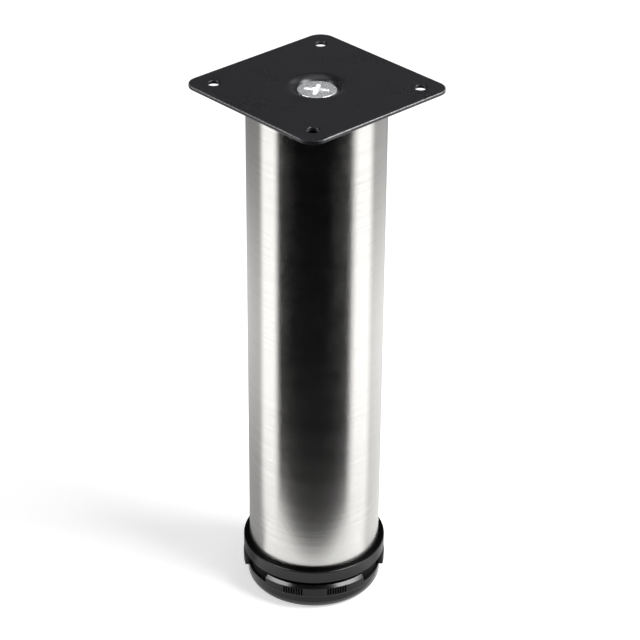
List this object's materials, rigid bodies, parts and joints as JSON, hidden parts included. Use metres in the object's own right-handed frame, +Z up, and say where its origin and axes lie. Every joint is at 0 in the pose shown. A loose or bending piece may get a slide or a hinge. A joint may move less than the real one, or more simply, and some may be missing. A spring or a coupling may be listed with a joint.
{
  "type": "furniture leg",
  "caption": "Round tubular furniture leg with a square screw-on mounting plate at the top and a knurled screw foot for levelling at the bottom.",
  "frame": {"origin": "centre of the foot's underside, on the leg's axis, with the foot fully screwed in", "axes": "+Z up along the tube to the mounting plate; the plate's sides run along X and Y"},
  "size_m": [0.08, 0.08, 0.25],
  "materials": {
    "plate_coating": "black coated stamped steel, satin",
    "zinc": "bright zinc plated steel",
    "tube_steel": "brushed round the tube",
    "moulding": "black moulded plastic, low sheen"
  },
  "bodies": {
    "leg": {"mounting_plate": "plate_coating", "fixing_screw": "zinc", "screw_nut": "zinc", "top_insert": "moulding", "tube": "tube_steel", "bottom_insert": "moulding", "stud_nut": "zinc"},
    "stud": {"levelling_stud": "zinc"},
    "foot": {"foot": "moulding"}
  },
  "joints": [
    {"name": "stud_slide", "type": "slide", "parent": "leg", "child": "stud", "axis": [0, 0, -1], "range_m": [0, 0.015]},
    {"name": "foot_turn", "type": "hinge", "parent": "stud", "child": "foot", "pos_m": [0, 0, 0.007], "axis": [0, 0, -1], "range_deg": [0, 3600]}
  ],
  "couplings": [
    {"joint": "stud_slide", "follows": "foot_turn", "m_per_rad": 0.00023873}
  ]
}
